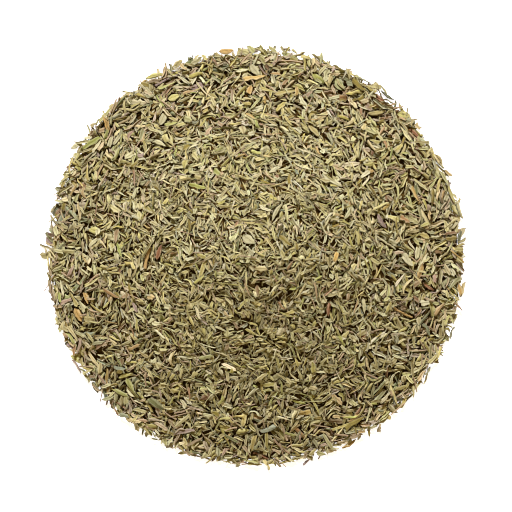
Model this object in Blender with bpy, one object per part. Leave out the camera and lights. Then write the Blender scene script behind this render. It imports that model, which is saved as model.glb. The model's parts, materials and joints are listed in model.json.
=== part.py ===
# A heap of dried, rubbed thyme leaves, poured out as a round cone on a flat surface.
#
# Frame: metres, +Z up, origin at the middle of the heap's flat foot, on the surface it lies on.
# leaf_heap is the body of packed leaves. The other objects are single leaves, broken flakes and
# bits of stalk that lie loose on its slope and around its foot, each one a piece of its own.

import math

import bmesh
import bpy
from mathutils import Matrix, Vector

# Driving dimensions of the heap
FOOT_RADIUS = 0.0660
FOOT_HEIGHT = 0.0010  # the thin edge of the heap, about three leaves thick
SLOPE = math.radians(30)  # how steeply dry leaves stay heaped
APEX_ROUNDING = 0.0050
HEAP_SIDES = 72
HEAP_RINGS = 14

# Driving dimensions of the loose pieces
LEAF_THICKNESS = 0.0003
STALK_SIDES = 8
GAP = 0.0003  # between a loose piece and the heap
RIM_START = 0.058  # from here outwards, loose pieces lean less and less
RIM_END = 0.068
RIM_TILT = math.radians(7)

# How each kind of piece is shaped. roll bends the margins under, fold shuts the leaf along its
# midrib, bow arches it lengthways, sway curves it sideways; snapped is the share broken off.
KINDS = {
    "open_leaf": {"roll": 38, "fold": 0, "bow": 14, "sway": 0.05, "snapped": 0.0},
    "rolled_leaf": {"roll": 82, "fold": 0, "bow": 16, "sway": 0.06, "snapped": 0.0},
    "folded_leaf": {"roll": 0, "fold": 42, "bow": 10, "sway": 0.07, "snapped": 0.0},
    "curled_leaf": {"roll": 60, "fold": 0, "bow": 52, "sway": 0.20, "snapped": 0.0},
    "leaf_flake": {"roll": 30, "fold": 0, "bow": 10, "sway": 0.00, "snapped": 0.42},
}

# The colours that the pieces dried to: linear red, green, blue
TINTS = {
    "olive": (0.25, 0.20, 0.085),
    "yellow_green": (0.42, 0.36, 0.13),
    "fresh_green": (0.25, 0.25, 0.09),
    "dark_green": (0.10, 0.10, 0.055),
    "sage": (0.28, 0.27, 0.165),
    "pale_sage": (0.48, 0.44, 0.30),
    "straw": (0.50, 0.40, 0.20),
    "ochre": (0.40, 0.27, 0.085),
    "rust": (0.27, 0.12, 0.05),
    "mauve": (0.22, 0.16, 0.125),
}

# The loose pieces: kind, x and y of the middle in millimetres, heading in degrees from +X,
# length and width in millimetres, tint
LOOSE_PIECES = [
    ("open_leaf", -26.4, 64.6, 45, 5.5, 2.0, "olive"),
    ("open_leaf", -9.8, 69.3, 5, 5.3, 2.2, "ochre"),
    ("open_leaf", -3.5, 68.8, 17, 6.0, 2.4, "sage"),
    ("open_leaf", 11.6, 67.6, -22, 6.5, 2.2, "fresh_green"),
    ("open_leaf", -0.2, 62.7, -55, 5.2, 2.6, "sage"),
    ("open_leaf", -30.6, 46.5, 70, 6.0, 2.8, "sage"),
    ("open_leaf", 28.2, 57.8, -60, 5.2, 3.0, "fresh_green"),
    ("open_leaf", 49.7, 47.8, -15, 5.0, 3.0, "yellow_green"),
    ("open_leaf", 19.4, 41.6, -50, 5.6, 2.0, "olive"),
    ("open_leaf", -2.2, 5.8, -40, 5.5, 3.0, "sage"),
    ("open_leaf", -53.2, 8.6, -15, 6.0, 2.6, "yellow_green"),
    ("open_leaf", 53.9, 1.8, 82, 6.0, 2.0, "pale_sage"),
    ("open_leaf", 42.2, -51.4, 30, 5.0, 3.0, "olive"),
    ("open_leaf", -59.4, -19.4, -60, 5.3, 2.9, "ochre"),
    ("open_leaf", 56.1, -13.9, 85, 4.2, 2.1, "olive"),
    ("open_leaf", -27.2, 53.4, 20, 4.5, 2.6, "yellow_green"),
    ("open_leaf", -53.8, -43.9, -65, 4.5, 1.9, "dark_green"),
    ("open_leaf", -68.8, 4.9, -45, 4.8, 2.2, "mauve"),
    ("open_leaf", -67.2, 16.0, 70, 4.8, 2.2, "dark_green"),
    ("open_leaf", 68.9, -2.0, -75, 6.2, 2.2, "sage"),
    ("rolled_leaf", -33.8, 60.9, 12, 7.0, 1.7, "yellow_green"),
    ("rolled_leaf", -35.8, 55.6, -51, 8.4, 1.6, "sage"),
    ("rolled_leaf", -32.0, 37.8, -28, 6.5, 1.6, "pale_sage"),
    ("rolled_leaf", 44.5, 54.3, -38, 6.0, 1.2, "dark_green"),
    ("rolled_leaf", 40.7, 48.4, 12, 7.0, 1.7, "olive"),
    ("rolled_leaf", 7.1, 14.9, 60, 8.0, 1.4, "sage"),
    ("rolled_leaf", 41.6, 11.8, -55, 5.8, 1.9, "mauve"),
    ("rolled_leaf", 68.8, 6.8, 78, 6.0, 1.4, "dark_green"),
    ("rolled_leaf", 35.7, -16.1, -80, 6.0, 1.5, "pale_sage"),
    ("rolled_leaf", -54.0, -34.7, -53, 8.8, 1.3, "straw"),
    ("rolled_leaf", -43.4, -39.8, 18, 6.3, 1.5, "yellow_green"),
    ("rolled_leaf", 31.5, -63.0, 32, 6.0, 1.3, "ochre"),
    ("rolled_leaf", 57.9, -10.0, -30, 5.5, 1.2, "rust"),
    ("rolled_leaf", 24.1, -16.7, 85, 6.0, 1.5, "rust"),
    ("rolled_leaf", -60.0, -34.6, -30, 5.8, 1.4, "yellow_green"),
    ("rolled_leaf", 53.3, 41.7, -42, 7.0, 1.5, "rust"),
    ("folded_leaf", -49.9, 44.7, -75, 7.0, 1.7, "ochre"),
    ("folded_leaf", 2.7, 69.3, -58, 5.2, 1.5, "yellow_green"),
    ("folded_leaf", 14.4, 56.0, -25, 4.8, 1.8, "yellow_green"),
    ("folded_leaf", -10.3, -44.5, 75, 6.8, 1.5, "straw"),
    ("folded_leaf", -41.1, -45.1, -45, 5.3, 2.0, "pale_sage"),
    ("folded_leaf", 61.5, 32.5, -55, 5.3, 1.8, "straw"),
    ("folded_leaf", -31.1, 1.5, 70, 5.3, 1.8, "rust"),
    ("curled_leaf", -4.4, -58.5, 15, 5.0, 1.9, "yellow_green"),
    ("curled_leaf", 40.3, -13.5, -60, 4.2, 1.6, "pale_sage"),
    ("curled_leaf", -27.4, -33.9, 80, 6.6, 1.4, "straw"),
    ("curled_leaf", -48.5, 34.1, -40, 6.4, 1.2, "straw"),
    ("leaf_flake", -47.0, 50.8, 35, 5.0, 3.0, "olive"),
    ("leaf_flake", -1.8, 55.9, 70, 3.4, 2.2, "ochre"),
    ("leaf_flake", 41.9, 53.1, -35, 4.4, 2.0, "rust"),
    ("leaf_flake", -56.3, -13.9, -70, 4.0, 2.0, "ochre"),
    ("stalk_bit", -29.9, 59.3, 27, 8.4, 0.9, "mauve"),
    ("stalk_bit", 38.9, 36.3, -48, 5.5, 1.2, "straw"),
    ("stalk_bit", -35.2, -0.5, 75, 7.4, 1.2, "ochre"),
    ("stalk_bit", 43.0, 4.6, -30, 8.4, 0.7, "pale_sage"),
    ("stalk_bit", 48.9, -18.6, -25, 8.0, 0.9, "ochre"),
    ("stalk_bit", 1.8, -66.6, -25, 5.4, 0.8, "rust"),
    ("stalk_bit", 37.1, -35.8, -70, 5.2, 0.9, "straw"),
    ("stalk_bit", 17.1, -68.9, 45, 3.0, 0.8, "mauve"),
]


def heap_height(radius):
    """Height of the heap's surface at a distance from its middle: a cone with a rounded tip."""
    reach = math.hypot(FOOT_RADIUS, APEX_ROUNDING) - math.hypot(radius, APEX_ROUNDING)
    return FOOT_HEIGHT + math.tan(SLOPE) * reach


def dried_material(name, colour, roughness):
    material = bpy.data.materials.get(name)
    if material is None:
        material = bpy.data.materials.new(name)
        material.use_nodes = True
        surface = material.node_tree.nodes["Principled BSDF"]
        surface.inputs["Base Color"].default_value = (*colour, 1)
        surface.inputs["Roughness"].default_value = roughness
        surface.inputs["Metallic"].default_value = 0
    return material


def add_object(name, bm, material):
    """Turn a finished bmesh, already in its place, into an object with its own mesh."""
    bmesh.ops.recalc_face_normals(bm, faces=bm.faces)
    mesh = bpy.data.meshes.new(name)
    bm.to_mesh(mesh)
    bm.free()
    mesh.materials.append(material)
    mesh.shade_smooth()
    mesh.set_sharp_from_angle(angle=math.radians(50))
    bpy.context.collection.objects.link(bpy.data.objects.new(name, mesh))


def make_heap():
    """The packed leaves: half the cone's outline, spun about Z."""
    bm = bmesh.new()
    outline = [Vector((0, 0, 0)), Vector((FOOT_RADIUS, 0, 0))]
    for ring in range(HEAP_RINGS, -1, -1):
        radius = FOOT_RADIUS * ring / HEAP_RINGS
        outline.append(Vector((radius, 0, heap_height(radius))))
    verts = [bm.verts.new(point) for point in outline]
    edges = [bm.edges.new(pair) for pair in zip(verts, verts[1:])]
    bmesh.ops.spin(
        bm,
        geom=verts + edges,
        axis=(0, 0, 1),
        cent=(0, 0, 0),
        angle=math.tau,
        steps=HEAP_SIDES,
        use_merge=True,
    )
    bmesh.ops.remove_doubles(bm, verts=bm.verts, dist=1e-6)
    bmesh.ops.dissolve_degenerate(bm, edges=bm.edges, dist=1e-6)
    add_object("leaf_heap", bm, dried_material("packed_leaves", TINTS["olive"], 0.9))


def leaf_outline(along):
    """Half the width of a thyme leaf, as a share of its widest, from stalk end -1 to tip +1."""
    return max(0.0, 1 - along * along) ** 0.7 * (1 - 0.18 * along)


def make_leaf(kind, length, width, turn):
    """A leaf lying along X: a grid cut to the outline, bent, then given its thickness.

    turn, from -1 to 1, makes each leaf of a kind bend a little more or less than the next.
    """
    shape = KINDS[kind]
    roll = math.radians(shape["roll"]) * (1 + 0.12 * turn)
    fold = math.radians(shape["fold"]) * (1 + 0.15 * turn)
    bow = math.radians(shape["bow"]) * (1 + 0.35 * turn)
    sway = shape["sway"] * (1 if turn >= 0 else -1)
    start = -1 + 2 * shape["snapped"]
    bow_radius = length / 2 / math.sin(bow)

    bm = bmesh.new()
    bmesh.ops.create_grid(bm, x_segments=7, y_segments=4, size=1)
    for vert in bm.verts:
        share, side = (vert.co.x + 1) / 2, vert.co.y
        half_width = width / 2 * leaf_outline(start + (1 - start) * share)
        along = share * 2 - 1
        if roll:
            radius = half_width / math.sin(roll)
            across = radius * math.sin(side * roll)
            height = radius * (math.cos(side * roll) - 1)
        else:
            across = half_width * side
            height = abs(across) * math.tan(fold)
        torn = 0.35 * across * (1 - share) if shape["snapped"] else 0
        angle = along * bow
        vert.co.x = (bow_radius + height) * math.sin(angle) + torn
        vert.co.y = across + sway * length * (0.5 - along * along)
        vert.co.z = (bow_radius + height) * math.cos(angle) - bow_radius
    bmesh.ops.remove_doubles(bm, verts=bm.verts, dist=1e-6)
    bmesh.ops.recalc_face_normals(bm, faces=bm.faces)
    bmesh.ops.solidify(bm, geom=bm.faces[:], thickness=LEAF_THICKNESS)
    return bm


def make_stalk(length, width, turn):
    """A bit of stalk along X: a slim tapered rod, slightly bent."""
    bm = bmesh.new()
    bmesh.ops.create_cone(
        bm,
        cap_ends=True,
        segments=STALK_SIDES,
        radius1=width * 0.5,
        radius2=width * 0.38,
        depth=length,
        matrix=Matrix.Rotation(math.radians(90), 4, "Y"),
    )
    long_edges = [e for e in bm.edges if abs(e.verts[0].co.x - e.verts[1].co.x) > length / 2]
    bmesh.ops.subdivide_edges(bm, edges=long_edges, cuts=5)
    for vert in bm.verts:
        along = 2 * vert.co.x / length
        vert.co.y += 0.05 * turn * length * (0.5 - along * along)
        vert.co.x += 0.4 * vert.co.y * along
    return bm


def settle(bm, x, y, heading):
    """Lay a piece on the slope with its middle at x, y, then let it down until it rests."""
    distance = math.hypot(x, y)
    bearing = math.atan2(y, x)
    towards_rim = min(1, max(0, (distance - RIM_START) / (RIM_END - RIM_START)))
    tilt = SLOPE + (RIM_TILT - SLOPE) * towards_rim
    bm.transform(
        Matrix.Translation((x, y, 0))
        @ Matrix.Rotation(bearing, 4, "Z")
        @ Matrix.Rotation(tilt, 4, "Y")
        @ Matrix.Rotation(heading - bearing, 4, "Z")
    )
    lift = -1.0
    for vert in bm.verts:
        radius = math.hypot(vert.co.x, vert.co.y)
        floor = 0.0
        if radius < FOOT_RADIUS + GAP:
            floor = heap_height(min(radius, FOOT_RADIUS)) + GAP / math.cos(SLOPE)
        lift = max(lift, floor - vert.co.z)
    bmesh.ops.translate(bm, vec=(0, 0, lift), verts=bm.verts)


def make_loose_pieces():
    counts = {}
    for kind, x, y, heading, length, width, tint in LOOSE_PIECES:
        counts[kind] = counts.get(kind, 0) + 1
        turn = math.sin(2.4 * counts[kind])
        if kind == "stalk_bit":
            bm = make_stalk(length / 1000, width / 1000, turn)
        else:
            bm = make_leaf(kind, length / 1000, width / 1000, turn)
        settle(bm, x / 1000, y / 1000, math.radians(heading))
        name = f"{kind}_{counts[kind]:02d}"
        add_object(name, bm, dried_material(f"{tint}_dried", TINTS[tint], 0.75))


for old in list(bpy.data.objects):
    bpy.data.objects.remove(old, do_unlink=True)
make_heap()
make_loose_pieces()
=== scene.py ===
# A heap of dried, rubbed thyme: every leaf, sliver and stalk bit of its surface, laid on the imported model.
import json
import math

import bmesh
import bpy
import numpy as np
from mathutils import Matrix, Vector, noise


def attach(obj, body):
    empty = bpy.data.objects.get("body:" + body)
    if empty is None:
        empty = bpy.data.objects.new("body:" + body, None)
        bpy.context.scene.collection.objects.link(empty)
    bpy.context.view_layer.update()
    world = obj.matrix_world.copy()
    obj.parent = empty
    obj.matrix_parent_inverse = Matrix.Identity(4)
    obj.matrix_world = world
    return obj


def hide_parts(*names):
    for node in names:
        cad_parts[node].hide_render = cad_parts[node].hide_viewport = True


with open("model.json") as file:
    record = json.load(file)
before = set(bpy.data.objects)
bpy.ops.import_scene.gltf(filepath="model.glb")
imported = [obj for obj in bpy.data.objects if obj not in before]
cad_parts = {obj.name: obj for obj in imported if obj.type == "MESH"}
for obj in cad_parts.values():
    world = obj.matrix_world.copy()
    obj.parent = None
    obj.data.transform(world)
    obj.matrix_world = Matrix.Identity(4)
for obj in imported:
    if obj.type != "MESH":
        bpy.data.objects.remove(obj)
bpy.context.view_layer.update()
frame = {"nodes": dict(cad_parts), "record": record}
root = "root"
scene = bpy.context.scene
noise.seed_set(5)  # the same crumples on every run


def smoothMesh(bm, name):
    mesh = bpy.data.meshes.new(name)
    bm.to_mesh(mesh)
    bm.free()
    mesh.shade_smooth()
    return mesh


def faceUpwards(bm):
    bmesh.ops.recalc_face_normals(bm, faces=bm.faces)
    if sum(face.normal.z for face in bm.faces) < 0:
        bmesh.ops.reverse_faces(bm, faces=bm.faces)


def turnOutline(outline, steps):
    # turns an outline once about the upright axis, where its points stay single vertices. The faces are
    # made one by one, because the spin operator lists them in another order on every run.
    bm = bmesh.new()
    turns = [Matrix.Rotation(math.tau * step / steps, 4, "Z") for step in range(steps)]
    rings = []
    for point in outline:
        if point.x == 0:
            rings.append([bm.verts.new(point)] * steps)
        else:
            rings.append([bm.verts.new(turn @ point) for turn in turns])
    for ring, nextRing in zip(rings, rings[1:]):
        for step in range(steps):
            corners = (ring[step - 1], ring[step], nextRing[step], nextRing[step - 1])
            bm.faces.new(tuple(dict.fromkeys(corners)))
    bmesh.ops.recalc_face_normals(bm, faces=bm.faces)
    return bm


# the camera looks straight down, and across is the width that it sees on the floor
view = {"distance": 0.6, "across": 0.1723, "aim": (0.0002, 0.0003), "nearest": 0.01}


def addCamera():
    data = bpy.data.cameras.new("camera")
    data.lens = data.sensor_width * view["distance"] / view["across"]
    data.clip_start = view["nearest"]
    camera = bpy.data.objects.new("camera", data)
    camera.location = (*view["aim"], view["distance"])
    scene.collection.objects.link(camera)
    scene.camera = camera


# angles in degrees; the bearing is counted from +X towards +Y
light = {
    "elevation": 51,
    "bearing": 96,
    "spread": 6,
    "sun": 7.45,
    "sunColour": (0.97, 1.0, 1.17),
    "fill": 0.62,
    "fillColour": (1.0, 0.73, 0.28),
    "filterWidth": 1.0,  # a crisp picture of small leaves
}


def addLight():
    data = bpy.data.lights.new("window", "SUN")
    data.energy = light["sun"]
    data.color = light["sunColour"]
    data.angle = math.radians(light["spread"])
    window = bpy.data.objects.new("window", data)
    elevation = math.radians(light["elevation"])
    bearing = math.radians(light["bearing"])
    towards = Vector((math.cos(bearing), math.sin(bearing), 0)) * math.cos(elevation)
    towards.z = math.sin(elevation)
    window.rotation_euler = towards.to_track_quat("Z", "Y").to_euler()
    scene.collection.objects.link(window)
    world = bpy.data.worlds.new("room")
    world.use_nodes = True
    background = world.node_tree.nodes["Background"]
    background.inputs["Color"].default_value = (*light["fillColour"], 1)
    background.inputs["Strength"].default_value = light["fill"]
    scene.world = world
    scene.view_settings.view_transform = "Standard"
    scene.cycles.filter_width = light["filterWidth"]


# a flat disc whose far edge sweeps up, so that low views end on paper too
paper = {
    "flat": 2.4,
    "sweep": 0.6,
    "turns": 64,
    "albedo": (0.58, 0.58, 0.60),
    "glow": 0.78,
    "roughness": 0.9,
    "specular": 0.1,
}


def addFloor():
    material = bpy.data.materials.new("floorPaper")
    material.use_nodes = True
    surface = material.node_tree.nodes["Principled BSDF"]
    surface.inputs["Base Color"].default_value = (*paper["albedo"], 1)
    surface.inputs["Roughness"].default_value = paper["roughness"]
    surface.inputs["Specular IOR Level"].default_value = paper["specular"]
    surface.inputs["Emission Color"].default_value = (1, 1, 1, 1)
    surface.inputs["Emission Strength"].default_value = paper["glow"]
    flat, sweep = paper["flat"], paper["sweep"]
    angles = [math.radians(angle) for angle in range(0, 91, 10)]
    swept = [Vector((flat + sweep * math.sin(a), 0, sweep * (1 - math.cos(a)))) for a in angles]
    bm = turnOutline([Vector(), *swept], paper["turns"])
    faceUpwards(bm)
    mesh = smoothMesh(bm, "floor")
    mesh.materials.append(material)
    floor = bpy.data.objects.new("floor", mesh)
    scene.collection.objects.link(floor)


addCamera()
addLight()
addFloor()
print("camera, light and floor are in")


class Nodes:
    # a short way to write a node tree: values, colours and sockets all go in as plain arguments

    def __init__(self, material):
        material.use_nodes = True
        self.tree = material.node_tree
        self.surface = self.tree.nodes["Principled BSDF"]

    def add(self, kind, inputs=(), **settings):
        node = self.tree.nodes.new("ShaderNode" + kind)
        for name, value in settings.items():
            setattr(node, name, value)
        for socket, value in dict(inputs).items():
            self.put(node.inputs[socket], value)
        return node

    def put(self, socket, value):
        if isinstance(value, bpy.types.NodeSocket):
            self.tree.links.new(value, socket)
        else:
            socket.default_value = value

    def math(self, operation, a, b=0.0, c=0.0):
        return self.add("Math", {0: a, 1: b, 2: c}, operation=operation).outputs[0]

    def ramp(self, value, start, end, low=0.0, high=1.0):
        inputs = {"Value": value, "From Min": start, "From Max": end, "To Min": low, "To Max": high}
        return self.add("MapRange", inputs, interpolation_type="SMOOTHSTEP").outputs["Result"]

    def mix(self, share, a, b, blend="MIX"):
        node = self.add("Mix", data_type="RGBA", blend_type=blend)
        self.put(node.inputs[0], share)
        self.put(node.inputs[6], a)
        self.put(node.inputs[7], b)
        return node.outputs[2]

    def shade(self, colour, share):
        # the colour times the share; a share above 1 counts as 1
        grey = self.mix(share, (0, 0, 0, 1), (1, 1, 1, 1))
        return self.mix(1.0, colour, grey, "MULTIPLY")

    def noise(self, vector, scale, detail, roughness):
        inputs = {"Vector": vector, "Scale": scale, "Detail": detail, "Roughness": roughness}
        return self.add("TexNoise", inputs).outputs["Fac"]

    def bump(self, strength, distance, height):
        inputs = {"Strength": strength, "Distance": distance, "Height": height}
        self.put(self.surface.inputs["Normal"], self.add("Bump", inputs).outputs["Normal"])


noiseReach = (0.2, 0.8)  # nearly all values of a noise

# Every leaf and stalk reads its own colour from leafTint, with a random share in its alpha. leafUv runs
# along a leaf in u and across it in v, and underside is 1 on the faces at a leaf's back. Each noise has
# its scale, detail and roughness, and the range of it that counts. Widths and places are shares of the
# way from the midrib to the margins.
leafFinish = {
    "mottle": (800, 3.0, 0.6),
    "mottleRange": (0.28, 0.72),
    "mottleShade": (0.76, 1.24),
    "speck": (3600, 2.0, 0.6),
    "speckRange": (0.3, 0.7),
    "speckShade": (0.90, 1.09),
    "unevenness": 0.24,  # how much the specks shift the groove, the ridges and the margins
    "grooveWidth": 0.14,
    "grooveBackWidening": 0.22,
    # painted shade: the dark that the groove along the midrib takes, wider on the back between the rolled
    # margins
    "grooveColour": (0.062, 0.038, 0.006, 1),
    "grooveShare": 0.44,
    "grooveDepth": 0.8,
    "ridgeRise": (0.38, 0.58),
    "ridgeFall": (0.92, 0.66),
    # the colour that lightens the ridges and margins: partly the leaf's own paler rolled margins, partly
    # painted highlight on edges that catch the light
    "ridgeColour": (0.490, 0.447, 0.285, 1),
    "ridgeShare": 0.16,
    "margin": (0.90, 0.99),
    "marginShare": 0.60,
    "backColour": (0.30, 0.27, 0.155, 1),
    "backShare": 0.30,
    "tip": (0.78, 1.0),  # the stretch of the leaf's length over which it darkens
    "tipped": (0.60, 0.72),  # the random share from which a leaf has a dark tip
    "tipColour": (0.10, 0.058, 0.024, 1),
    "tipShare": 0.7,
    "roughness": (0.60, 0.86),
    "specular": 0.16,
    "bump": 0.45,
    "bumpHeight": 0.0001,
}


def makeLeafMaterial(name, finish):
    material = bpy.data.materials.new(name)
    n = Nodes(material)
    place = n.add("TexCoord").outputs["Object"]
    tint = n.add("Attribute", attribute_name="leafTint")
    back = n.add("Attribute", attribute_name="underside").outputs["Fac"]
    leafUv = n.add("UVMap", uv_map="leafUv").outputs["UV"]
    split = n.add("SeparateXYZ", {"Vector": leafUv})
    along, across = split.outputs["X"], split.outputs["Y"]
    mottle = n.noise(place, *finish["mottle"])
    speck = n.noise(place, *finish["speck"])

    fromMidrib = n.math("ABSOLUTE", n.math("MULTIPLY_ADD", across, 2.0, -1.0))
    shift = n.math("MULTIPLY_ADD", speck, finish["unevenness"], -finish["unevenness"] / 2)
    uneven = n.math("ADD", fromMidrib, shift)
    grooveEdge = n.math("MULTIPLY_ADD", back, finish["grooveBackWidening"], finish["grooveWidth"])
    groove = n.ramp(uneven, grooveEdge, 0.0)
    ridge = n.math("MULTIPLY", n.ramp(uneven, *finish["ridgeRise"]), n.ramp(uneven, *finish["ridgeFall"]))
    margin = n.ramp(uneven, *finish["margin"])

    mottled = n.ramp(mottle, *finish["mottleRange"], *finish["mottleShade"])
    speckled = n.ramp(speck, *finish["speckRange"], *finish["speckShade"])
    colour = n.shade(n.shade(tint.outputs["Color"], mottled), speckled)
    colour = n.mix(n.math("MULTIPLY", back, finish["backShare"]), colour, finish["backColour"])
    isTipped = n.ramp(tint.outputs["Alpha"], *finish["tipped"])
    tip = n.math("MULTIPLY", n.ramp(along, *finish["tip"]), isTipped)
    colour = n.mix(n.math("MULTIPLY", tip, finish["tipShare"]), colour, finish["tipColour"])
    # painted shade darkens the groove along the midrib, where the rolled leaf shades itself
    colour = n.mix(n.math("MULTIPLY", groove, finish["grooveShare"]), colour, finish["grooveColour"])
    # ridges and margins are lightened, partly as the leaf's own paler margins and partly as painted
    # highlight
    ridgePaleHighlit = n.math("MULTIPLY", ridge, finish["ridgeShare"])
    marginPaleHighlit = n.math("MULTIPLY", margin, finish["marginShare"])
    colour = n.mix(n.math("MAXIMUM", ridgePaleHighlit, marginPaleHighlit), colour, finish["ridgeColour"])
    n.put(n.surface.inputs["Base Color"], colour)

    n.put(n.surface.inputs["Roughness"], n.ramp(mottle, *noiseReach, *finish["roughness"]))
    n.surface.inputs["Specular IOR Level"].default_value = finish["specular"]
    height = n.math("SUBTRACT", speck, n.math("MULTIPLY", groove, finish["grooveDepth"]))
    n.bump(finish["bump"], finish["bumpHeight"], height)
    return material


stalkFinish = {
    "fibre": (3.0, 3.0, 0.6),
    "fibreStretch": (1.5, 11.0, 1.0),
    "fibreRange": (0.3, 0.7),
    "fibreShade": (0.62, 1.25),
    "bark": (900, 2.0, 0.6),
    "barkRange": (0.52, 0.68),
    "barkColour": (0.17, 0.10, 0.055, 1),
    "barkShare": 0.55,
    "roughness": (0.6, 0.85),
    "specular": 0.3,
    "bump": 0.4,
    "bumpHeight": 0.0001,
}


def makeStalkMaterial(name, finish):
    material = bpy.data.materials.new(name)
    n = Nodes(material)
    place = n.add("TexCoord").outputs["Object"]
    tint = n.add("Attribute", attribute_name="leafTint")
    leafUv = n.add("UVMap", uv_map="leafUv").outputs["UV"]
    fibreMap = n.add("Mapping", {"Vector": leafUv, "Scale": finish["fibreStretch"]}).outputs["Vector"]
    fibre = n.noise(fibreMap, *finish["fibre"])
    bark = n.noise(place, *finish["bark"])
    grooved = n.ramp(fibre, *finish["fibreRange"], *finish["fibreShade"])
    colour = n.shade(tint.outputs["Color"], grooved)
    barkShare = n.ramp(bark, *finish["barkRange"], 0.0, finish["barkShare"])
    colour = n.mix(barkShare, colour, finish["barkColour"])
    n.put(n.surface.inputs["Base Color"], colour)
    n.put(n.surface.inputs["Roughness"], n.ramp(fibre, *noiseReach, *finish["roughness"]))
    n.surface.inputs["Specular IOR Level"].default_value = finish["specular"]
    n.bump(finish["bump"], finish["bumpHeight"], fibre)
    return material


# painted shade: the filling is near black with faint lumps, standing in for the shadowed leaves deep in the
# gaps
fillingShadeFinish = {
    "lumps": (600, 4.0, 0.7),
    "lumpRange": (0.4, 0.7),
    "dark": (0.030, 0.014, 0.002, 1),
    "pale": (0.095, 0.056, 0.010, 1),
    "roughness": 0.95,
    "specular": 0.1,
    "bump": 0.8,
    "bumpHeight": 0.0006,
}


def makeFillingShadeMaterial(name, finish):
    material = bpy.data.materials.new(name)
    n = Nodes(material)
    place = n.add("TexCoord").outputs["Object"]
    lumps = n.noise(place, *finish["lumps"])
    colour = n.mix(n.ramp(lumps, *finish["lumpRange"]), finish["dark"], finish["pale"])
    n.put(n.surface.inputs["Base Color"], colour)
    n.surface.inputs["Roughness"].default_value = finish["roughness"]
    n.surface.inputs["Specular IOR Level"].default_value = finish["specular"]
    n.bump(finish["bump"], finish["bumpHeight"], lumps)
    return material


leafMaterial = makeLeafMaterial("driedLeaf", leafFinish)
stalkMaterial = makeStalkMaterial("driedStalk", stalkFinish)
fillingShadeMaterial = makeFillingShadeMaterial("heapLitter", fillingShadeFinish)
print("materials are made")

# the heap's own shape, in metres: a cone with a rounded tip, and a thin skirt of single leaves round it
heap = {
    "radius": 0.066,
    "footHeight": 0.0026,
    "slope": math.radians(30),
    "tipRounding": 0.005,
    "outerRadius": 0.0703,  # where the skirt ends
    "skirtHeight": 0.0028,
    "skirtEdge": 0.0012,
    "waveHeight": 0.00016,
    "waves": ((0.9, 0.021), (2.3, 0.016), (4.1, 0.013), (5.2, 0.0105), (1.6, 0.009), (3.3, 0.0078)),
    "wavesEnd": 0.064,  # the waves fade out towards this radius
    "wavesFade": 0.008,
    "crease": {"at": (0.0025, -0.0093), "long": 0.0058, "wide": 0.0017, "depth": 0.0012},
}
# the filling between the leaves and inside the heap, coloured almost black as painted shade for the deep
# gaps where the leaves below lie in shadow
filling = {
    "radius": 0.0680,
    "below": 0.0028,  # how far it lies below the leaves' surface
    "brim": 0.0011,  # where its bottom and its rim lie, above the leaves that the heap stands on
    "brimFall": 0.0004,
    "brimWidth": 0.002,
    "thickness": 0.00025,
    "rings": 40,
    "turns": 120,
    "lumpDepth": 0.0006,
    "lumpScale": 450,
    "lumpsFrom": 0.0018,  # the height from which it is lumpy
}


def surfaceHeight(radius):
    # works on numbers and arrays, as the next two do
    reach = math.hypot(heap["radius"], heap["tipRounding"]) - np.hypot(radius, heap["tipRounding"])
    cone = heap["footHeight"] + math.tan(heap["slope"]) * reach
    outwards = (radius - heap["radius"]) / (heap["outerRadius"] - heap["radius"])
    skirt = heap["skirtHeight"] + (heap["skirtEdge"] - heap["skirtHeight"]) * outwards
    return np.where(radius < heap["radius"], cone, np.where(outwards < 1, skirt, 0))


def unevenness(x, y):
    # crossing waves, each with its bearing in radians and its length, and one crease near the tip
    total = sum(
        np.sin((x * math.cos(turn) + y * math.sin(turn)) * math.tau / length + 5 * turn)
        for turn, length in heap["waves"]
    )
    crease = heap["crease"]
    along, across = (x - crease["at"][0]) / crease["long"], (y - crease["at"][1]) / crease["wide"]
    dip = crease["depth"] * np.exp(-(along**2) - across**2)
    fade = np.clip((heap["wavesEnd"] - np.hypot(x, y)) / heap["wavesFade"], 0, 1)
    return total * heap["waveHeight"] * fade - dip


def fillingHeight(radius):
    outside = np.clip((radius - heap["radius"]) / filling["brimWidth"], 0, 1)
    brim = filling["brim"] - filling["brimFall"] * outside
    height = np.maximum(surfaceHeight(radius) - filling["below"], brim)
    return np.where(radius <= filling["radius"], height, 0)


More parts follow.
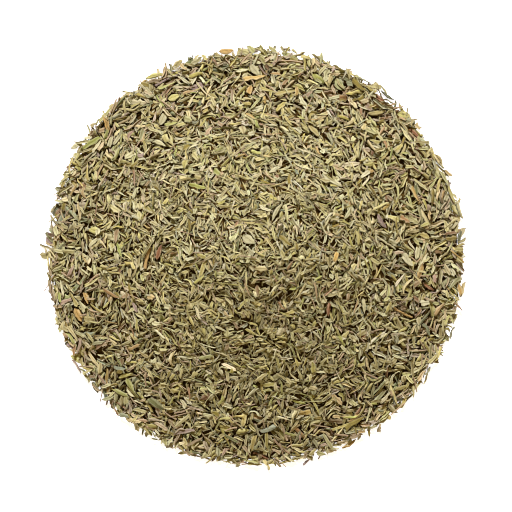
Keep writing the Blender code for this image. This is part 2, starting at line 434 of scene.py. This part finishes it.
# Angles in degrees. roll turns the margins under, fold shuts a leaf along its midrib, bow arches it,
# twist winds it and sway bends it sideways. begin and end are the shares broken off at the stalk end
# and the tip, shed the share torn off one side, skew how slanting the breaks are, square how parallel
# the sides run, ragged and wave how uneven the margins are, and hem how much thicker a leaf is between
# its midrib and its margins, where those are rolled under.
leafKinds = {
    "rolledLeaf": {"roll": 112, "bow": 18, "twist": 34, "sway": 0.14, "square": 2.8, "hem": 0.30,
                   "ragged": 0.18, "begin": 0.10, "skew": 0.08},
    "openLeaf": {"roll": 50, "bow": 20, "twist": 26, "sway": 0.08, "square": 2.3, "hem": 0.14,
                 "ragged": 0.26, "wave": 0.12, "begin": 0.08, "skew": 0.06},
    "foldedLeaf": {"fold": 52, "bow": 16, "twist": 28, "sway": 0.10, "square": 2.7, "hem": 0.06,
                   "ragged": 0.24, "wave": 0.08, "begin": 0.10, "skew": 0.10},
    "curledLeaf": {"roll": 80, "bow": 62, "twist": 40, "sway": 0.20, "square": 2.6, "hem": 0.22,
                   "ragged": 0.20, "begin": 0.08},
    "broadLeaf": {"roll": 34, "bow": 18, "twist": 20, "sway": 0.06, "square": 2.2, "hem": 0.05,
                  "ragged": 0.30, "wave": 0.14, "begin": 0.14, "end": 0.04, "skew": 0.10},
    "leafTip": {"roll": 52, "bow": 16, "twist": 24, "sway": 0.06, "square": 2.1, "hem": 0.12,
                "ragged": 0.26, "wave": 0.10, "begin": 0.42, "end": 0.0, "skew": 0.26, "rows": 4},
    "leafFlake": {"roll": 34, "bow": 14, "twist": 20, "sway": 0.0, "square": 3.0, "hem": 0.06,
                  "ragged": 0.34, "wave": 0.12, "begin": 0.34, "end": 0.24, "skew": 0.4, "rows": 3},
    "leafSliver": {"roll": 84, "bow": 22, "twist": 48, "sway": 0.20, "square": 3.2, "hem": 0.14,
                   "ragged": 0.26, "begin": 0.12, "end": 0.08, "shed": 0.40, "skew": 0.18,
                   "rows": 5, "columns": 3},
}
# what all the kinds share, with lengths in widths of a leaf and angles in degrees
leafForm = {
    "aspect": 3.8,
    "thickness": 0.10,
    "hemmed": (0.2, 0.8),  # where the hem lies, from the midrib at 0 to the margins at 1
    "groove": 0.16,
    "grooveNarrowness": 2.2,
    "taper": 0.14,
    "roundness": 0.55,
    "doubleBend": 0.35,  # how much of the sway bends back again
    "torn": 0.10,
    "crumple": 0.13,
    "crumpleScale": 1.9,
    "variants": 8,
    "rollSpread": 0.14,  # how much roll, fold and bow differ between the variants
    "foldSpread": 0.2,
    "bowSpread": 0.5,
    "rows": 6,
    "columns": 4,
    "samples": (17, 7),  # points along it and across it that are tried when it is laid
    "sharpAngle": 75,
}


def leafPoint(x, y, shape, turn):
    # A point of the leaf's sheet, its width 1 and its length the aspect; x and y run from -1 to 1.
    # turn, from -1 to 1, tells the variants of a kind apart and shifts every wave.
    begin, end, shed = shape.get("begin", 0), shape.get("end", 0), shape.get("shed", 0)
    torn = leafForm["torn"] * math.sin(5 * y + 3 * turn) * (x < -0.9 and begin > 0)
    torn += leafForm["torn"] * math.sin(4 * y - 3 * turn) * (x > 0.9 and end > 0)
    x += shape.get("skew", 0) * y * turn
    along = max(-1, min(1, -1 + 2 * (begin + (1 - begin - end) * (x + 1) / 2)))
    side = y * (1 - shed / 2) + shed / 2
    outline = max(0.0, 1 - abs(along) ** shape["square"]) ** leafForm["roundness"]
    half = 0.5 * outline * (1 - leafForm["taper"] * along)
    tear = Vector((2.6 * along, 2.0 if y > 0 else -2.0, 9 * turn))
    half *= 1 + shape.get("ragged", 0) * 2 * noise.noise(tear) * abs(y)
    roll = math.radians(shape.get("roll", 0)) * (1 + leafForm["rollSpread"] * turn)
    fold = math.radians(shape.get("fold", 0)) * (1 + leafForm["foldSpread"] * turn)
    bow = math.radians(shape["bow"]) * (1 + leafForm["bowSpread"] * turn)
    if roll:
        radius = half / math.sin(min(roll, math.pi / 2))
        across, height = radius * math.sin(side * roll), radius * (math.cos(side * roll) - 1)
        nearMidrib = max(0, 1 - leafForm["grooveNarrowness"] * abs(side))
        height -= leafForm["groove"] * half * 2 * nearMidrib ** 1.5
    else:
        across, height = half * side * math.cos(fold), half * abs(side) * math.sin(fold)
    height += shape.get("wave", 0) * y * y * math.sin(5 * x + 4 * turn + 2 * (y > 0))
    twist = math.radians(shape["twist"]) * turn * x
    across, height = (
        across * math.cos(twist) - height * math.sin(twist),
        across * math.sin(twist) + height * math.cos(twist),
    )
    length = leafForm["aspect"]
    bowRadius = length / 2 / math.sin(min(bow, math.pi / 2))
    bend = turn * (0.5 - x * x) + leafForm["doubleBend"] * math.sin(3 * x + 5 * turn)
    point = Vector((
        (bowRadius + height) * math.sin(x * bow) + torn,
        across + shape["sway"] * length * bend,
        (bowRadius + height) * math.cos(x * bow) - bowRadius,
    ))
    crumple = noise.noise_vector(point * leafForm["crumpleScale"] + Vector((7 * turn, 3, 1)))
    return point + leafForm["crumple"] * crumple


def withinTile(share):
    # keeps a leaf's map clear of the edges of its tile; works on numbers and arrays
    return 0.03 + 0.94 * share


def thicken(bm, hem):
    # A second sheet under the first, joined to it along the margins. On the map the front fills the
    # left half of the tile and the back the right half.
    backFlag = bm.faces.layers.float.new("underside")
    uv = bm.loops.layers.uv["leafUv"]
    atlas = bm.loops.layers.uv.new("OFBake")
    bm.normal_update()
    rim = [v for v in bm.verts if v.is_boundary]
    inside = [v for v in bm.verts if not v.is_boundary]
    copies = bmesh.ops.duplicate(bm, geom=bm.verts[:] + bm.edges[:] + bm.faces[:])
    twins = copies["vert_map"]
    hemStart, hemEnd = leafForm["hemmed"]
    for vert in inside:
        across = abs(2 * vert.link_loops[0][uv].uv.y - 1)
        twins[vert].co -= vert.normal * (leafForm["thickness"] + hem * (hemStart < across < hemEnd))
    back = [f for f in copies["geom"] if isinstance(f, bmesh.types.BMFace)]
    bmesh.ops.reverse_faces(bm, faces=back)
    for face in back:
        face[backFlag] = 1.0
    for face in bm.faces:
        for loop in face.loops:
            u, v = loop[uv].uv
            loop[atlas].uv = (withinTile(u) / 2 + 0.5 * face[backFlag], withinTile(v))
    bmesh.ops.remove_doubles(bm, verts=rim + [twins[v] for v in rim], dist=1e-5)


def leafPrototype(name, shape, turn):
    # returns the mesh, and points all over its sheet for laying it
    bm = bmesh.new()
    bm.loops.layers.uv.new("leafUv")
    rows, columns = shape.get("rows", leafForm["rows"]), shape.get("columns", leafForm["columns"])
    bmesh.ops.create_grid(bm, x_segments=rows, y_segments=columns, size=1, calc_uvs=True)
    for vert in bm.verts:
        vert.co = leafPoint(vert.co.x, vert.co.y, shape, turn)
    bmesh.ops.remove_doubles(bm, verts=bm.verts, dist=1e-4)
    faceUpwards(bm)
    thicken(bm, shape["hem"])
    mesh = smoothMesh(bm, name)
    mesh.set_sharp_from_angle(angle=math.radians(leafForm["sharpAngle"]))
    xs, ys = (np.linspace(-1, 1, count) for count in leafForm["samples"])
    return mesh, np.array([leafPoint(x, y, shape, turn) for x in xs for y in ys])


# lengths in widths of a stalk
stalkForm = {
    "sides": 5,
    "aspect": 9.0,
    "cuts": 3,
    "thinEnd": 0.36,
    "slant": 0.5,
    "sway": 0.06,
    "arch": 0.03,
    "crumple": 0.10,
    "crumpleScale": 0.9,
    "variants": 3,
    "sharpAngle": 60,
}


# Where a stalk's faces lie on its tile of the map: its sides with a start and a span each way, and to
# the right of them the middles of its two ends.
stalkTile = {"along": (0.03, 0.82), "around": (0.1, 0.7), "thinEnd": 0.905, "thickEnd": 0.955,
             "endSize": (0.04, 0.8)}


def mapStalk(bm):
    length = stalkForm["aspect"]
    (left, width), (bottom, height) = stalkTile["along"], stalkTile["around"]
    endWidth, endHeight = stalkTile["endSize"]
    uv = bm.loops.layers.uv.new("leafUv")
    atlas = bm.loops.layers.uv.new("OFBake")
    for face in bm.faces:
        middle = face.calc_center_median()
        around = math.atan2(middle.z, middle.y) / math.tau % 1
        isEnd = abs(face.normal.x) > 0.9
        for loop in face.loops:
            spot = loop.vert.co
            if isEnd:
                end = stalkTile["thinEnd"] if middle.x > 0 else stalkTile["thickEnd"]
                loop[uv].uv = (0.5, 0.5)
                loop[atlas].uv = (end + endWidth * spot.y, 0.5 + endHeight * spot.z)
            else:
                angle = math.atan2(spot.z, spot.y) / math.tau % 1
                angle = around + (angle - around + 0.5) % 1 - 0.5
                loop[uv].uv = (spot.x / length + 0.5, angle)
                loop[atlas].uv = (left + width * (spot.x / length + 0.5), bottom + height * angle)


def stalkPrototype(name, turn):
    bm = bmesh.new()
    length = stalkForm["aspect"]
    lying = Matrix.Rotation(math.radians(90), 4, "Y")
    bmesh.ops.create_cone(
        bm, cap_ends=True, segments=stalkForm["sides"], radius1=0.5, radius2=stalkForm["thinEnd"],
        depth=length, matrix=lying
    )
    longEdges = [e for e in bm.edges if abs(e.verts[0].co.x - e.verts[1].co.x) > length / 2]
    bmesh.ops.subdivide_edges(bm, edges=longEdges, cuts=stalkForm["cuts"])
    mapStalk(bm)
    bm.faces.layers.float.new("underside")
    for vert in bm.verts:
        along = 2 * vert.co.x / length
        vert.co.x += stalkForm["slant"] * vert.co.y * along * turn
        vert.co.y += stalkForm["sway"] * turn * length * (0.5 - along * along)
        vert.co.z += stalkForm["arch"] * length * math.sin(2.2 * along + 3 * turn)
        crumple = noise.noise_vector(vert.co * stalkForm["crumpleScale"] + Vector((5 * turn, 0, 2)))
        vert.co += stalkForm["crumple"] * crumple
    mesh = smoothMesh(bm, name)
    mesh.set_sharp_from_angle(angle=math.radians(stalkForm["sharpAngle"]))
    points = [v.co.copy() for v in mesh.vertices]
    points += [(a.co + b.co) / 2 for a, b in zip(mesh.vertices, mesh.vertices[1:])]
    return mesh, np.array(points)


# the turns of a kind's variants lie anywhere from -1 to 1, and no two are the same
prototypes = {}
for kind, shape in leafKinds.items():
    turns = [math.sin(2.4 * i + 0.6) for i in range(leafForm["variants"])]
    prototypes[kind] = [leafPrototype(f"{kind}Shape", shape, turn) for turn in turns]
turns = [math.sin(2.4 * i) for i in range(stalkForm["variants"])]
prototypes["stalkBit"] = [stalkPrototype("stalkBitShape", turn) for turn in turns]
print("leaf shapes:", sum(len(shapes) for shapes in prototypes.values()))

# colour, and how common it is in the middle of the heap and at its rim
tints = {
    "khaki": ((0.280, 0.240, 0.090), 28, 17),
    "olive": ((0.222, 0.188, 0.055), 25, 16),
    "paleSage": ((0.325, 0.300, 0.160), 13, 9),
    "sage": ((0.232, 0.216, 0.096), 9, 8),
    "straw": ((0.340, 0.280, 0.134), 4.5, 6),
    "rosyTan": ((0.238, 0.168, 0.084), 3, 6.5),
    "darkOlive": ((0.135, 0.102, 0.020), 8, 11),
    "freshGreen": ((0.205, 0.203, 0.054), 4, 7),
    "yellow": ((0.300, 0.248, 0.074), 0.6, 2.5),
    "ochre": ((0.250, 0.168, 0.055), 1.2, 4),
    "rust": ((0.160, 0.090, 0.038), 1.5, 6.5),
    "mauve": ((0.185, 0.132, 0.086), 1.0, 7.5),
    "darkGreen": ((0.090, 0.092, 0.032), 2, 6),
    "blueGreen": ((0.145, 0.152, 0.086), 1, 3.5),
}
# how the colours vary: the first two say where they change from the middle's to the rim's
tinting = {
    "from": 0.035,
    "over": 0.032,
    "brightness": 0.14,
    "hue": (0.02, 0.025, 0.10),
    "limits": (0.01, 0.75),
    "stalk": (0.25, 0.180, 0.098),
}
# in the middle of the heap and at its rim: share of the pieces, length and width in millimetres
mixture = {
    "rolledLeaf": ((17, 4.3, 0.86), (28, 5.8, 1.30)),
    "openLeaf": ((16, 4.0, 1.34), (17, 5.5, 1.70)),
    "foldedLeaf": ((9, 3.9, 0.98), (9, 5.2, 1.35)),
    "curledLeaf": ((14, 4.1, 0.82), (13, 5.4, 1.15)),
    "broadLeaf": ((10, 4.4, 1.84), (6, 5.8, 2.20)),
    "leafTip": ((11, 2.9, 1.20), (8, 4.2, 1.65)),
    "leafFlake": ((9, 2.3, 1.20), (6, 3.2, 1.65)),
    "leafSliver": ((27, 4.1, 0.58), (7, 5.0, 0.85)),
    "stalkBit": ((2, 4.8, 0.43), (3, 6.0, 0.60)),
}
# where the middle's mixture gives way to the rim's, and how much the sizes vary
mixing = {"from": 0.036, "over": 0.028, "power": 1.4, "lengthSpread": 0.27, "widthSpread": 0.25}
# How the pieces are laid, in metres and degrees. Each one goes to the emptiest of a few spots, tries a
# few ways to lie there and settles for the lowest.
laying = {
    "seed": 11,
    "cell": 0.0003,
    "reach": 0.078,
    "above": 0.0012,  # how far a piece may stand above the heap's surface
    "rimAbove": 0.0014,  # how much more is allowed to the small ones at the rim
    "sprinkledAbove": 0.0022,
    "ways": 3,
    "pitch": 18,
    "roll": 40,
    "faceDown": 0.45,  # the share of the pieces that lie on their face
    "scatter": 0.0015,  # how far the spots of one piece differ in radius
    "straying": 0.00045,  # how much each wave of the outline goes in and out
    "outlineWaves": (11, 23, 37, 53),  # how many times each of them does so on its way round
    "sink": 0.00010,  # how far a piece presses in among the others
    "clearance": 0.00005,  # above the ground
    "singleGap": 0.0001,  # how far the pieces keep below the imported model's single leaves
    "levelFrom": 0.0665,  # from this radius inwards pieces start to lean with the slope
    "levelWidth": 0.004,
}
# spots is how many spots a piece has to choose from, and room how far below the heap's surface the
# one that it takes has to be
rounds = {
    "packed": {"attempts": 60000, "ring": (0, 0.0696), "spots": 3, "room": 0, "size": 1.0},
    "crumbs": {"attempts": 6000, "ring": (0, 0.066), "spots": 16, "room": 0.0016, "size": 0.6},
    "rim": {"attempts": 3600, "ring": (0.0660, 0.0696), "spots": 8, "room": -1, "size": 0.85},
    "sprinkled": {"attempts": 700, "ring": (0, 0.0696), "spots": 1, "room": -1, "size": 1.0},
}


def turnAbout(axis, angle):
    # rotation matrices about one axis, for an array of angles
    c, s, o, i = np.cos(angle), np.sin(angle), np.zeros_like(angle), np.ones_like(angle)
    rows = {
        "X": (i, o, o, o, c, -s, o, s, c),
        "Y": (c, o, s, o, i, o, -s, o, c),
        "Z": (c, -s, o, s, c, o, o, o, i),
    }
    return np.stack(rows[axis], -1).reshape(*angle.shape, 3, 3)


class HeightField:
    # the height of what has been laid so far, in square cells

    def __init__(self):
        self.side = int(2 * laying["reach"] / laying["cell"])
        middle = (np.arange(self.side) + 0.5) * laying["cell"] - laying["reach"]
        x, y = (part.ravel() for part in np.meshgrid(middle, middle, indexing="ij"))
        radius = np.hypot(x, y)
        self.top = fillingHeight(radius)
        self.target = surfaceHeight(radius) + unevenness(x, y)
        self.ceiling = self.target + laying["above"]

    def cells(self, points):
        spots = ((points[..., :2] + laying["reach"]) / laying["cell"]).astype(int)
        return spots[..., 0] * self.side + spots[..., 1]

    def raiseTo(self, cells, heights):
        np.maximum.at(self.top, cells, heights)

    def keepBelow(self, cells, heights):
        np.minimum.at(self.ceiling, cells, heights)


def pickRows(rng, weights):
    # one row number for each line of weights, which add up to 1
    picked = (weights.cumsum(1) < rng.random((len(weights), 1))).sum(1)
    return picked.clip(max=weights.shape[1] - 1)


def pickKinds(rng, radii):
    # kind, length and width of each piece
    towardsRim = np.clip((radii - mixing["from"]) / mixing["over"], 0, 1)[:, None] ** mixing["power"]
    table = np.array(list(mixture.values()), float)
    weights = table[:, 0, 0] * (1 - towardsRim) + table[:, 1, 0] * towardsRim
    weights /= weights.sum(1, keepdims=True)
    chosen = pickRows(rng, weights)
    sizes = table[chosen, 0, 1:] * (1 - towardsRim) + table[chosen, 1, 1:] * towardsRim
    spread = np.array([mixing["lengthSpread"], mixing["widthSpread"]])
    sizes *= np.exp(rng.normal(0, 1, sizes.shape) * spread)
    return np.array(list(mixture))[chosen], sizes / 1000


def pickTints(rng, radii, kinds):
    # colour of each piece, with the random share in its alpha
    towardsRim = np.clip((radii - tinting["from"]) / tinting["over"], 0, 1)[:, None]
    colours = np.array([colour for colour, _, _ in tints.values()])
    common = np.array([shares for _, *shares in tints.values()], float)
    common /= common.sum(0)
    chosen = pickRows(rng, common[:, 0] * (1 - towardsRim) + common[:, 1] * towardsRim)
    brightness = np.exp(rng.normal(0, tinting["brightness"], (len(radii), 1)))
    hue = np.exp(rng.normal(0, 1, (len(radii), 3)) * np.array(tinting["hue"]))
    picked = colours[chosen] * brightness * hue
    woody = kinds == "stalkBit"
    picked[woody] = np.array(tinting["stalk"]) * brightness[woody]
    return np.concatenate([picked.clip(*tinting["limits"]), rng.random((len(radii), 1))], 1)


def leanAt(radius, bearing):
    # how the heap's surface is turned at this place; its skirt is level
    leaning = min(1, max(0, (laying["levelFrom"] - radius) / laying["levelWidth"]))
    tilt = math.atan(math.tan(heap["slope"]) * radius / math.hypot(radius, heap["tipRounding"])) * leaning
    towards, back = turnAbout("Z", np.array(bearing)), turnAbout("Z", np.array(-bearing))
    return towards @ turnAbout("Y", np.array(tilt)) @ back


def placed(place, turn, scale):
    return Matrix.Translation(place) @ Matrix(turn.tolist()).to_4x4() @ Matrix.Diagonal((*scale, 1))


def layPieces(rng, field, attempts, ring, spots, room, size):
    # returns kind, variant, matrix and radius of each piece that has found a place
    inner, outer = ring
    variants = rng.integers(0, 100, attempts)
    radii = np.sqrt(inner**2 + (outer**2 - inner**2) * rng.random(attempts))
    kinds, sizes = pickKinds(rng, radii)
    sizes *= size
    bearings = rng.random((attempts, spots)) * math.tau
    wander = sum(np.sin(n * bearings + n) for n in laying["outlineWaves"])
    edge = outer + laying["straying"] * wander
    scattered = radii[:, None] + rng.normal(0, laying["scatter"], (attempts, spots))
    scattered = np.abs(scattered).clip(max=edge)
    places = np.stack([scattered * np.cos(bearings), scattered * np.sin(bearings)], -1)
    ways = (attempts, laying["ways"])
    pitch = np.radians(laying["pitch"]) * rng.normal(0, 1, ways)
    roll = np.radians(laying["roll"]) * rng.normal(0, 1, ways)
    roll += math.pi * (rng.random(ways) < laying["faceDown"])
    heading = rng.random(ways) * math.tau
    turns = turnAbout("Z", heading) @ turnAbout("Y", pitch) @ turnAbout("X", roll)
    placeCells = field.cells(places)
    laid = []
    for i in range(attempts):
        depths = field.target[placeCells[i]] - field.top[placeCells[i]]
        best = int(depths.argmax())
        if depths[best] < room:
            continue
        x, y = places[i, best]
        radius = math.hypot(x, y)
        lean = leanAt(radius, math.atan2(y, x))
        variant = variants[i] % len(prototypes[kinds[i]])
        samples = prototypes[kinds[i]][variant][1]
        form = stalkForm if kinds[i] == "stalkBit" else leafForm
        scale = np.array([sizes[i, 0] / form["aspect"], sizes[i, 1], sizes[i, 1]])
        points = (samples * scale) @ (lean @ turns[i]).transpose(0, 2, 1)
        points[..., :2] += places[i, best]
        cells = field.cells(points)
        lifts = (field.top[cells] - points[..., 2]).max(1)
        way = int(lifts.argmin())
        lift = max(lifts[way] - laying["sink"], laying["clearance"] - points[way, :, 2].min())
        heights = points[way, :, 2] + lift
        if (heights > field.ceiling[cells[way]]).any():
            continue
        field.raiseTo(cells[way], heights)
        laid.append((kinds[i], variant, placed((x, y, lift), lean @ turns[i, way], scale), radius))
    return laid


# the leaves that the heap stands on: flat, close to the ground and larger than the rest
baseLayer = {
    "count": 3700,
    "kinds": ("openLeaf", "broadLeaf", "rolledLeaf", "openLeaf"),
    "straying": 0.0004,
    "sideStraying": 0.0008,
    "widening": (1.0, 1.35),
    "flatness": 0.45,
    "faceDown": 0.4,
    "lowest": 0.00006,
    "lift": 0.0004,
    "innerRadius": 0.050,  # where the inner piece ends and the outer one begins
    "tintRadius": 0.06,
}


def layBase(rng):
    # the leaves follow a sunflower's spiral, so that they close the underside evenly
    count, names = baseLayer["count"], baseLayer["kinds"]
    steps = np.arange(count) + 0.5
    radii = filling["radius"] * np.sqrt(steps / count) + rng.normal(0, baseLayer["straying"], count)
    goldenAngle = math.pi * (3 - math.sqrt(5))
    bearings = steps * goldenAngle + rng.normal(0, baseLayer["sideStraying"], count) / radii
    headings = rng.random(count) * math.tau
    rows = []
    for i in range(count):
        kind = names[int(rng.integers(len(names)))]
        variant = int(rng.integers(len(prototypes[kind])))
        _, length, width = mixture[kind][1]
        width *= 0.001 * rng.uniform(*baseLayer["widening"])
        scale = (0.001 * length / leafForm["aspect"], width, baseLayer["flatness"] * width)
        over = math.pi * (rng.random() < baseLayer["faceDown"])
        turn = turnAbout("Z", headings[i]) @ turnAbout("X", np.array(over))
        bottom = ((prototypes[kind][variant][1] * scale) @ turn.T)[:, 2].min()
        lift = baseLayer["lowest"] + baseLayer["lift"] * rng.random() - bottom
        place = (radii[i] * math.cos(bearings[i]), radii[i] * math.sin(bearings[i]), lift)
        rows.append((kind, variant, placed(place, turn, scale), radii[i]))
    return rows


def looseLeafPoints(node):
    # its corners, and the middles of its faces and of one side of each
    mesh = frame["nodes"][node].data
    corners = np.array([v.co for v in mesh.vertices])
    triangles = [corners[list(p.vertices)] for p in mesh.polygons]
    middles = [t.mean(0) for t in triangles] + [(t[0] + t[1]) / 2 for t in triangles]
    return np.concatenate([corners, middles])


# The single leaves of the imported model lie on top: nothing may be laid through them, and only the
# last sprinkled bits may lie over them.
rng = np.random.default_rng(laying["seed"])
field = HeightField()
looseNodes = [name for name in frame["nodes"] if name != "leaf_heap"]
loosePoints = [looseLeafPoints(node) for node in looseNodes]
for points in loosePoints:
    field.keepBelow(field.cells(points), points[:, 2] - laying["singleGap"])
laid = layPieces(rng, field, **rounds["packed"])
print("pieces packed into the heap:", len(laid))
laid += layPieces(rng, field, **rounds["crumbs"])
print("with the crumbs in the holes:", len(laid))
field.ceiling += laying["rimAbove"]
laid += layPieces(rng, field, **rounds["rim"])
print("with the small ones that close the rim:", len(laid))
field.ceiling = field.target + laying["sprinkledAbove"]
for points in loosePoints:
    field.raiseTo(field.cells(points), points[:, 2])
laid += layPieces(rng, field, **rounds["sprinkled"])
print("with the ones sprinkled over it:", len(laid))

# each joined piece takes one kind of leaf, between two radii in millimetres
joined = {
    "rolledLeavesCrown": ("rolledLeaf", 0, 38),
    "rolledLeavesSlope": ("rolledLeaf", 38, 57),
    "rolledLeavesFoot": ("rolledLeaf", 57, 80),
    "openLeavesCrown": ("openLeaf", 0, 50),
    "openLeavesFoot": ("openLeaf", 50, 80),
    "broadLeaves": ("broadLeaf", 0, 80),
    "foldedLeaves": ("foldedLeaf", 0, 80),
    "curledLeaves": ("curledLeaf", 0, 80),
    "leafTips": ("leafTip", 0, 80),
    "leafFlakes": ("leafFlake", 0, 80),
    "leafSliversCrown": ("leafSliver", 0, 50),
    "leafSliversFoot": ("leafSliver", 50, 80),
    "stalkBits": ("stalkBit", 0, 80),
}


def layTiles(mesh, count, loopCounts):
    # gives each leaf its own tile of the map
    side = math.ceil(math.sqrt(count))
    tile = np.repeat(np.arange(count), loopCounts)
    corner = np.stack([tile % side, tile // side], 1)
    layer = mesh.uv_layers["OFBake"]
    uv = np.zeros(len(mesh.loops) * 2, np.float32)
    layer.uv.foreach_get("vector", uv)
    uv = (withinTile(uv.reshape(-1, 2)) + corner) / side
    layer.uv.foreach_set("vector", uv.astype(np.float32).ravel())


def joinLeaves(name, members, colours):
    bm = bmesh.new()
    vertCounts, loopCounts = [], []
    for kind, variant, matrix, _ in members:
        leaf = prototypes[kind][variant][0]
        leaf.transform(matrix)
        bm.from_mesh(leaf)
        leaf.transform(matrix.inverted())
        vertCounts.append(len(leaf.vertices))
        loopCounts.append(len(leaf.loops))
    mesh = bpy.data.meshes.new(name)
    bm.to_mesh(mesh)
    bm.free()
    mesh.attributes.new("leafTint", "FLOAT_COLOR", "POINT")
    mesh.attributes["leafTint"].data.foreach_set("color", np.repeat(colours, vertCounts, 0).ravel())
    layTiles(mesh, len(members), loopCounts)
    return mesh


def addPiece(name, mesh, material, node):
    mesh.materials.clear()
    mesh.materials.append(material)
    piece = bpy.data.objects.new(name, mesh)
    scene.collection.objects.link(piece)
    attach(piece, root)
    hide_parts(node)
    return piece


def addLeaves(name, members, colours, material):
    mesh = joinLeaves(name, members, colours)
    addPiece(name, mesh, material, "leaf_heap")
    print(name, len(members), "leaves", sum(len(p.vertices) - 2 for p in mesh.polygons), "triangles")


kindsLaid = np.array([row[0] for row in laid])
radiiLaid = np.array([row[3] for row in laid])
tintsLaid = pickTints(rng, radiiLaid, kindsLaid)
for name, (kind, nearest, farthest) in joined.items():
    mine = (kindsLaid == kind) & (radiiLaid * 1000 >= nearest) & (radiiLaid * 1000 < farthest)
    members = [row for row, own in zip(laid, mine) if own]
    addLeaves(name, members, tintsLaid[mine], stalkMaterial if kind == "stalkBit" else leafMaterial)

base = layBase(rng)
baseParts = {
    "baseLeavesInner": [row for row in base if row[3] < baseLayer["innerRadius"]],
    "baseLeavesOuter": [row for row in base if row[3] >= baseLayer["innerRadius"]],
}
for name, members in baseParts.items():
    radii = np.full(len(members), baseLayer["tintRadius"])
    colours = pickTints(rng, radii, np.array([row[0] for row in members]))
    addLeaves(name, members, colours, leafMaterial)


def addFilling():
    # a lumpy turned cone, level below, which lies on the leaves that the heap stands on
    rings = filling["rings"]
    radii = [filling["radius"] * ring / rings for ring in range(rings + 1)]
    tops = [float(fillingHeight(radius)) for radius in radii]
    walls = [max(filling["thickness"], top - filling["brim"]) for top in tops]
    outline = [Vector((r, 0, top - wall)) for r, top, wall in zip(radii, tops, walls)][:-1]
    outline += [Vector((r, 0, top)) for r, top in zip(radii, tops)][::-1]
    bm = turnOutline(outline, filling["turns"])
    for vert in bm.verts:
        if vert.co.z > filling["lumpsFrom"]:
            lump = 0.5 + 0.5 * noise.noise(vert.co * filling["lumpScale"])
            vert.co.z -= filling["lumpDepth"] * lump
    addPiece("heapFilling", smoothMesh(bm, "heapFilling"), fillingShadeMaterial, "leaf_heap")


addFilling()
print("the litter between the leaves is in")

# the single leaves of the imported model, by the colour in their material slot's name
looseTints = {
    "olive": (0.22, 0.18, 0.065),
    "yellow_green": (0.30, 0.27, 0.085),
    "fresh_green": (0.195, 0.195, 0.065),
    "dark_green": (0.080, 0.080, 0.042),
    "sage": (0.245, 0.220, 0.112),
    "pale_sage": (0.33, 0.300, 0.158),
    "straw": (0.34, 0.276, 0.130),
    "ochre": (0.29, 0.185, 0.058),
    "rust": (0.175, 0.080, 0.035),
    "mauve": (0.165, 0.118, 0.092),
}
looseForm = {
    "cuts": 1,
    "levels": 1,
    "crumple": 0.00030,
    "crumpleScale": 1300,
    "groove": 0.00026,
    "grooveNarrowness": 3,
    "flatTo": 25,  # triangles that meet at up to this angle become one face
    "squareTo": 50,  # if that face's corners are no further than this from right angles
    "slice": 0.12,  # the share of its half length over which its width is measured
    "narrowest": 0.1,
    "backBelow": -0.2,
    "shares": (0.3, 0.9),  # the random share in the alpha of its colour
}
slots = {part["node"]: part["material_slot"] for part in frame["record"]["subparts"]}


def mapLooseLeaf(bm, isStalk):
    # lays leafUv along the leaf's longest direction, flags its back and returns its upward direction
    corners = np.array([v.co for v in bm.verts])
    middle = corners.mean(0)
    alongAxis, acrossAxis, upAxis = np.linalg.svd(corners - middle, full_matrices=False)[2]
    if upAxis[2] < 0:
        upAxis = -upAxis
    local = (corners - middle) @ np.stack([alongAxis, acrossAxis, upAxis], 1)
    halfLength, halfWidth, _ = np.abs(local).max(0)
    bm.normal_update()
    uv = bm.loops.layers.uv.new("leafUv")
    backFlag = bm.faces.layers.float.new("underside")
    for face in bm.faces:
        face[backFlag] = float(face.normal.dot(Vector(upAxis)) < looseForm["backBelow"])
        for loop in face.loops:
            x, y, z = local[loop.vert.index]
            if isStalk:
                across = math.atan2(z, y) / math.tau
            else:
                near = np.abs(local[:, 0] - x) < looseForm["slice"] * halfLength
                widest = max(np.abs(local[near, 1]).max(), looseForm["narrowest"] * halfWidth)
                across = y / widest / 2
            loop[uv].uv = (x / halfLength / 2 + 0.5, across + 0.5)
    return upAxis


def crumpleLooseLeaf(bm, upAxis, isStalk):
    # crumples it sideways and upwards, never down, and presses in the groove along its midrib
    uv = bm.loops.layers.uv["leafUv"]
    for vert in bm.verts:
        shift = noise.noise_vector(vert.co * looseForm["crumpleScale"]) * looseForm["crumple"]
        vert.co += Vector((shift.x, shift.y, abs(shift.z)))
        if not isStalk:
            fromMidrib = abs(2 * np.mean([loop[uv].uv.y for loop in vert.link_loops]) - 1)
            nearMidrib = max(0, 1 - looseForm["grooveNarrowness"] * fromMidrib)
            vert.co -= Vector(upAxis) * looseForm["groove"] * nearMidrib


def finishLooseLeaf(node, rng):
    isStalk = node.startswith("stalk")
    bm = bmesh.new()
    bm.from_mesh(frame["nodes"][node].data)
    bmesh.ops.remove_doubles(bm, verts=bm.verts, dist=1e-6)
    flat, square = math.radians(looseForm["flatTo"]), math.radians(looseForm["squareTo"])
    bmesh.ops.join_triangles(bm, faces=bm.faces, angle_face_threshold=flat, angle_shape_threshold=square)
    upAxis = mapLooseLeaf(bm, isStalk)
    bmesh.ops.subdivide_edges(bm, edges=bm.edges, cuts=looseForm["cuts"], use_grid_fill=True)
    crumpleLooseLeaf(bm, upAxis, isStalk)
    mesh = smoothMesh(bm, node)
    tint = looseTints[slots[node].split("_", 1)[1]]
    mesh.attributes.new("leafTint", "FLOAT_COLOR", "POINT")
    colours = np.tile([*tint, rng.uniform(*looseForm["shares"])], len(mesh.vertices))
    mesh.attributes["leafTint"].data.foreach_set("color", colours)
    name = "single" + "".join(word.capitalize() for word in node.split("_"))
    piece = addPiece(name, mesh, stalkMaterial if isStalk else leafMaterial, node)
    smoother = piece.modifiers.new("smoother", "SUBSURF")
    smoother.levels = looseForm["levels"]
    smoother.render_levels = looseForm["levels"]


for node in looseNodes:
    finishLooseLeaf(node, rng)
print("single leaves finished:", len(looseNodes))
